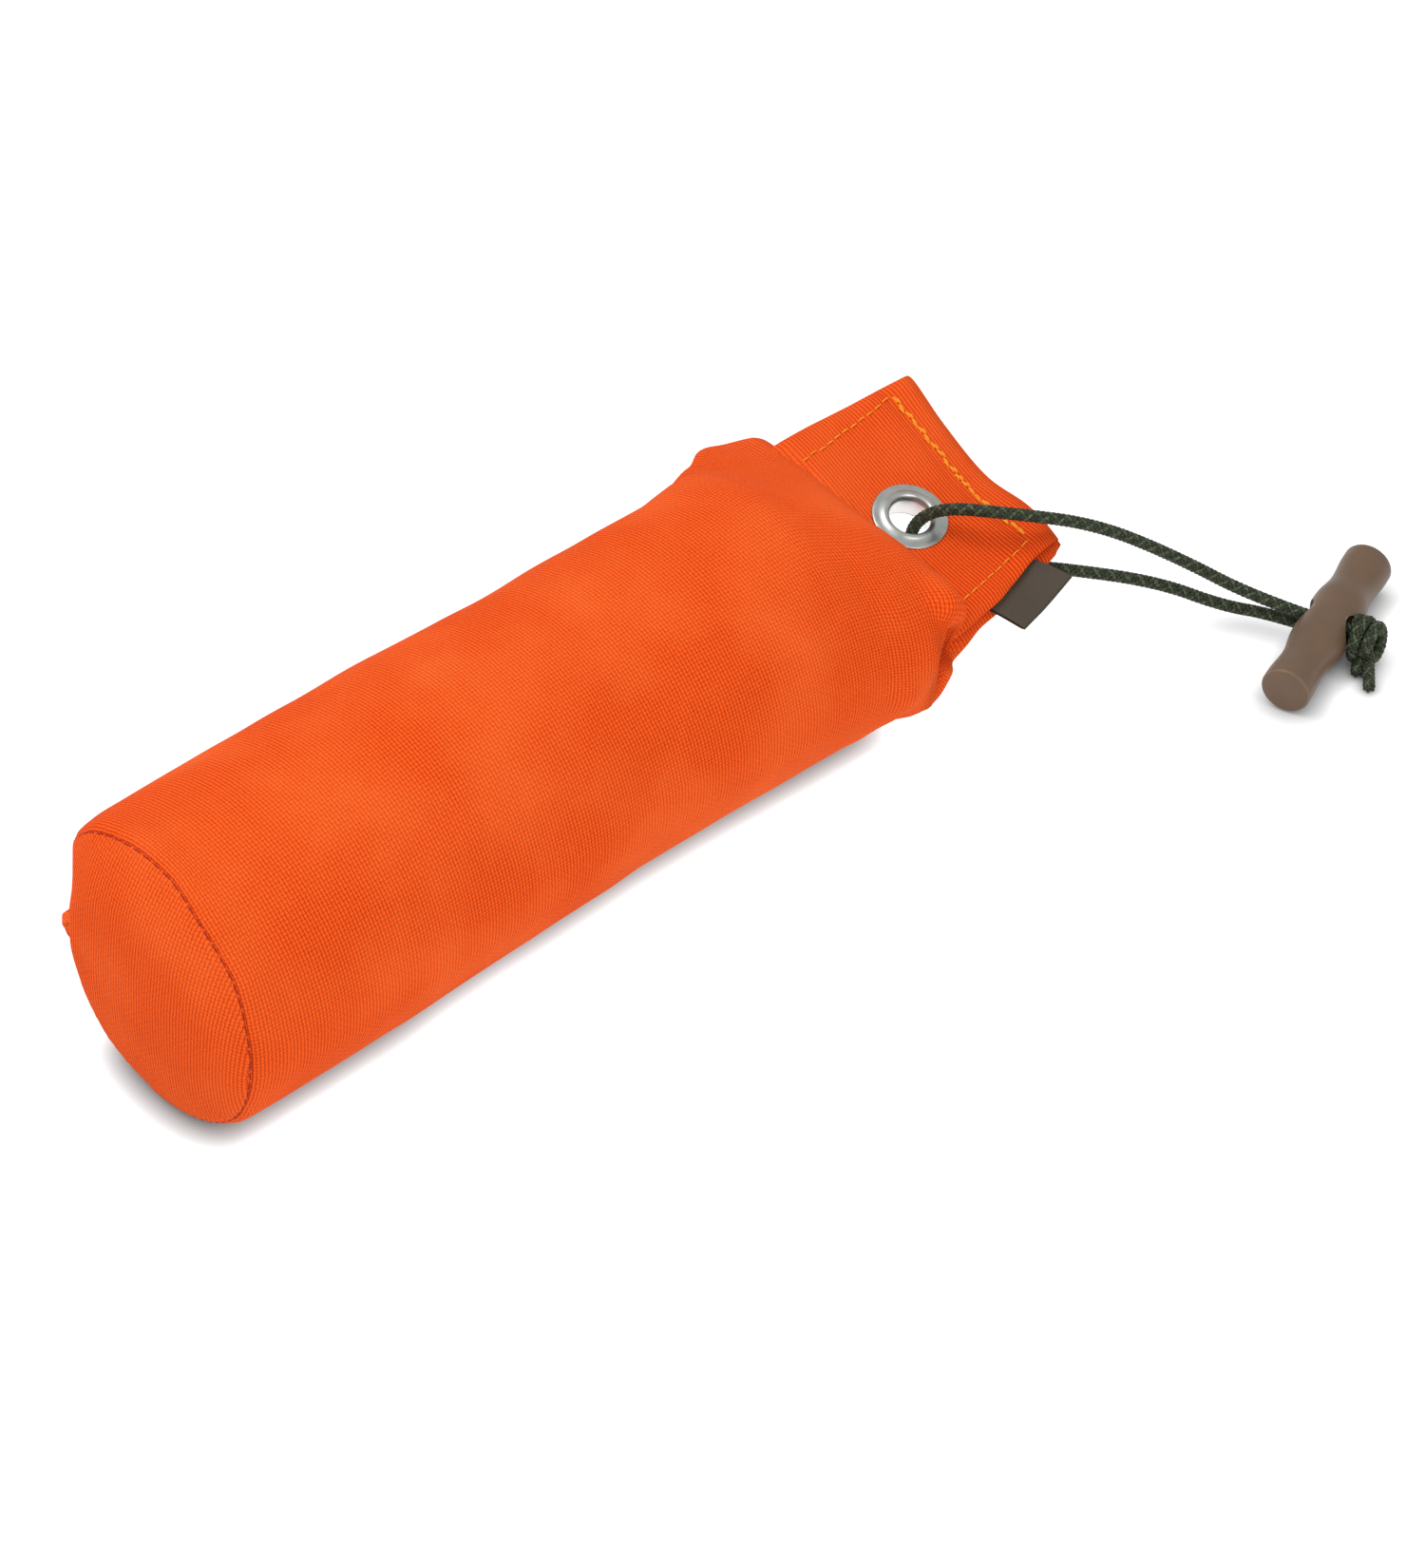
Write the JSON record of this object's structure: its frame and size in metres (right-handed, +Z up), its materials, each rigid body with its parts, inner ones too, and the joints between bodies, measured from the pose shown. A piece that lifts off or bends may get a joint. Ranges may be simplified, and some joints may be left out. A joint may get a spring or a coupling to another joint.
{
  "type": "training bumper",
  "caption": "Canvas training bumper: a round granulate-filled body, a stitched flap with an eyelet, and a throw cord loop with a toggle.",
  "frame": {"origin": "middle of the flat strip that the bumper lies on", "axes": "+X along the body from the round base towards the flap, +Y across to the side with the felled seam, +Z up"},
  "size_m": [0.267, 0.1049, 0.059],
  "materials": {
    "canvas": "plain-woven cotton canvas, matt, bright orange",
    "dark_thread": "dark brown sewing thread",
    "orange_thread": "yellow-orange sewing thread",
    "granulate": "plastic granulate, not visible",
    "eyelet_metal": "pressed metal, dull silver",
    "ribbon": "dark grey-brown woven ribbon, plain",
    "cord": "round braid, dark green and black",
    "toggle_wood": "matt brown"
  },
  "bodies": {
    "dummy": {"body_panel": "canvas", "base_disc": "canvas", "base_seam_stitches": "dark_thread", "side_seam_lap": "canvas", "side_seam_stitches": "orange_thread", "granulate_fill": "granulate"},
    "flap": {"flap_top_layer": "canvas", "flap_bottom_layer": "canvas", "gusset_near": "canvas", "gusset_far": "canvas", "flap_end_stitches": "orange_thread", "flap_far_stitches": "orange_thread", "flap_near_stitches": "orange_thread", "eyelet": "eyelet_metal", "eyelet_washer": "eyelet_metal"},
    "label": {"side_label": "ribbon"},
    "cord": {"throw_cord": "cord"},
    "knot": {"cord_knot": "cord", "cord_tails": "cord"},
    "toggle": {"toggle": "toggle_wood"}
  },
  "joints": [
    {"name": "flap_fold", "type": "hinge", "parent": "dummy", "child": "flap", "pos_m": [0.084, 0, 0.0296], "axis": [0, 0.9511, 0.309], "range_deg": [-40, 40], "stiffness_Nm_per_rad": 0.1},
    {"name": "cord_swing", "type": "hinge", "parent": "flap", "child": "cord", "pos_m": [0.098, 0, 0.0296], "axis": [0, -0.309, 0.9511], "range_deg": [-44, 130]},
    {"name": "knot_twist", "type": "hinge", "parent": "cord", "child": "knot", "pos_m": [0.157, -0.056, 0.0054], "axis": [0.3584, -0.9336, 0], "range_deg": [-90, 90]},
    {"name": "toggle_slide", "type": "slide", "parent": "knot", "child": "toggle", "axis": [-0.3584, 0.9336, 0], "range_m": [0, 0.0046]},
    {"name": "label_flex", "type": "hinge", "parent": "flap", "child": "label", "pos_m": [0.104, -0.02463, 0.0216], "axis": [1, 0, 0], "range_deg": [-60, 60], "stiffness_Nm_per_rad": 0.0002}
  ]
}
